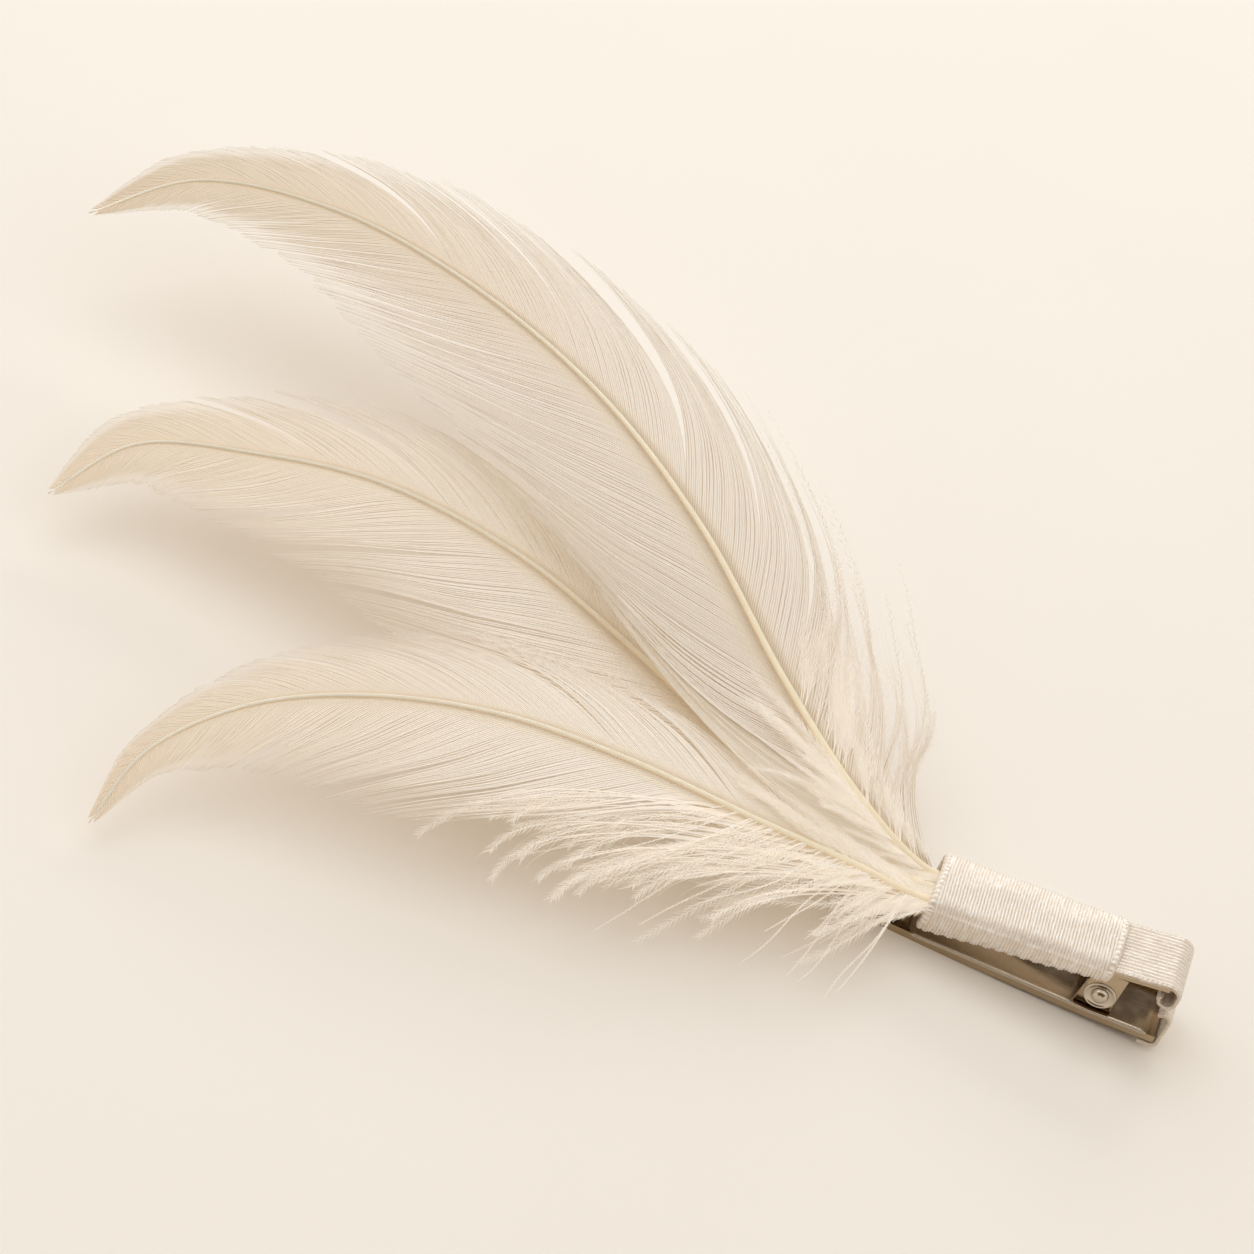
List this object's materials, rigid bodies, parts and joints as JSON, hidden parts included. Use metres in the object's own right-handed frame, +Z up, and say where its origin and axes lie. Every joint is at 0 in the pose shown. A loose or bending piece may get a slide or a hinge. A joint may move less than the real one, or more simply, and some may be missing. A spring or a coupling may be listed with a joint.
{
  "type": "feather hair clip",
  "caption": "Hair clip with long curved feathers bound by satin ribbon to the upper jaw of a sprung metal clip.",
  "frame": {"origin": "middle of the lower jaw's flat underside, on the surface the clip lies on", "axes": "+X along the clip towards the levers, feathers towards -X; +Z up; +Y away from the viewer of the picture"},
  "size_m": [0.1701, 0.1134, 0.0247],
  "materials": {
    "clip_metal": "polished nickel plate",
    "pin_metal": "polished nickel plate",
    "spring_metal": "drawn wire",
    "satin": "cream satin, ribbed",
    "feather": "ivory feather vane"
  },
  "bodies": {
    "lower_clip": {"lower_jaw": "clip_metal", "hinge_pin": "pin_metal", "torsion_spring": "spring_metal", "tab_ribbon": "satin"},
    "upper_clip": {"upper_jaw": "clip_metal", "satin_wrap": "satin", "lever_ribbon": "satin", "upper_feather": "feather", "middle_feather": "feather", "lower_feather": "feather"}
  },
  "joints": [
    {"name": "jaw_hinge", "type": "hinge", "parent": "lower_clip", "child": "upper_clip", "pos_m": [0.026, 0, 0.0053], "axis": [0, 1, 0], "range_deg": [0, 30], "stiffness_Nm_per_rad": 0.06, "springref_deg": -59.99, "deforming": ["torsion_spring", "tab_ribbon"]}
  ]
}
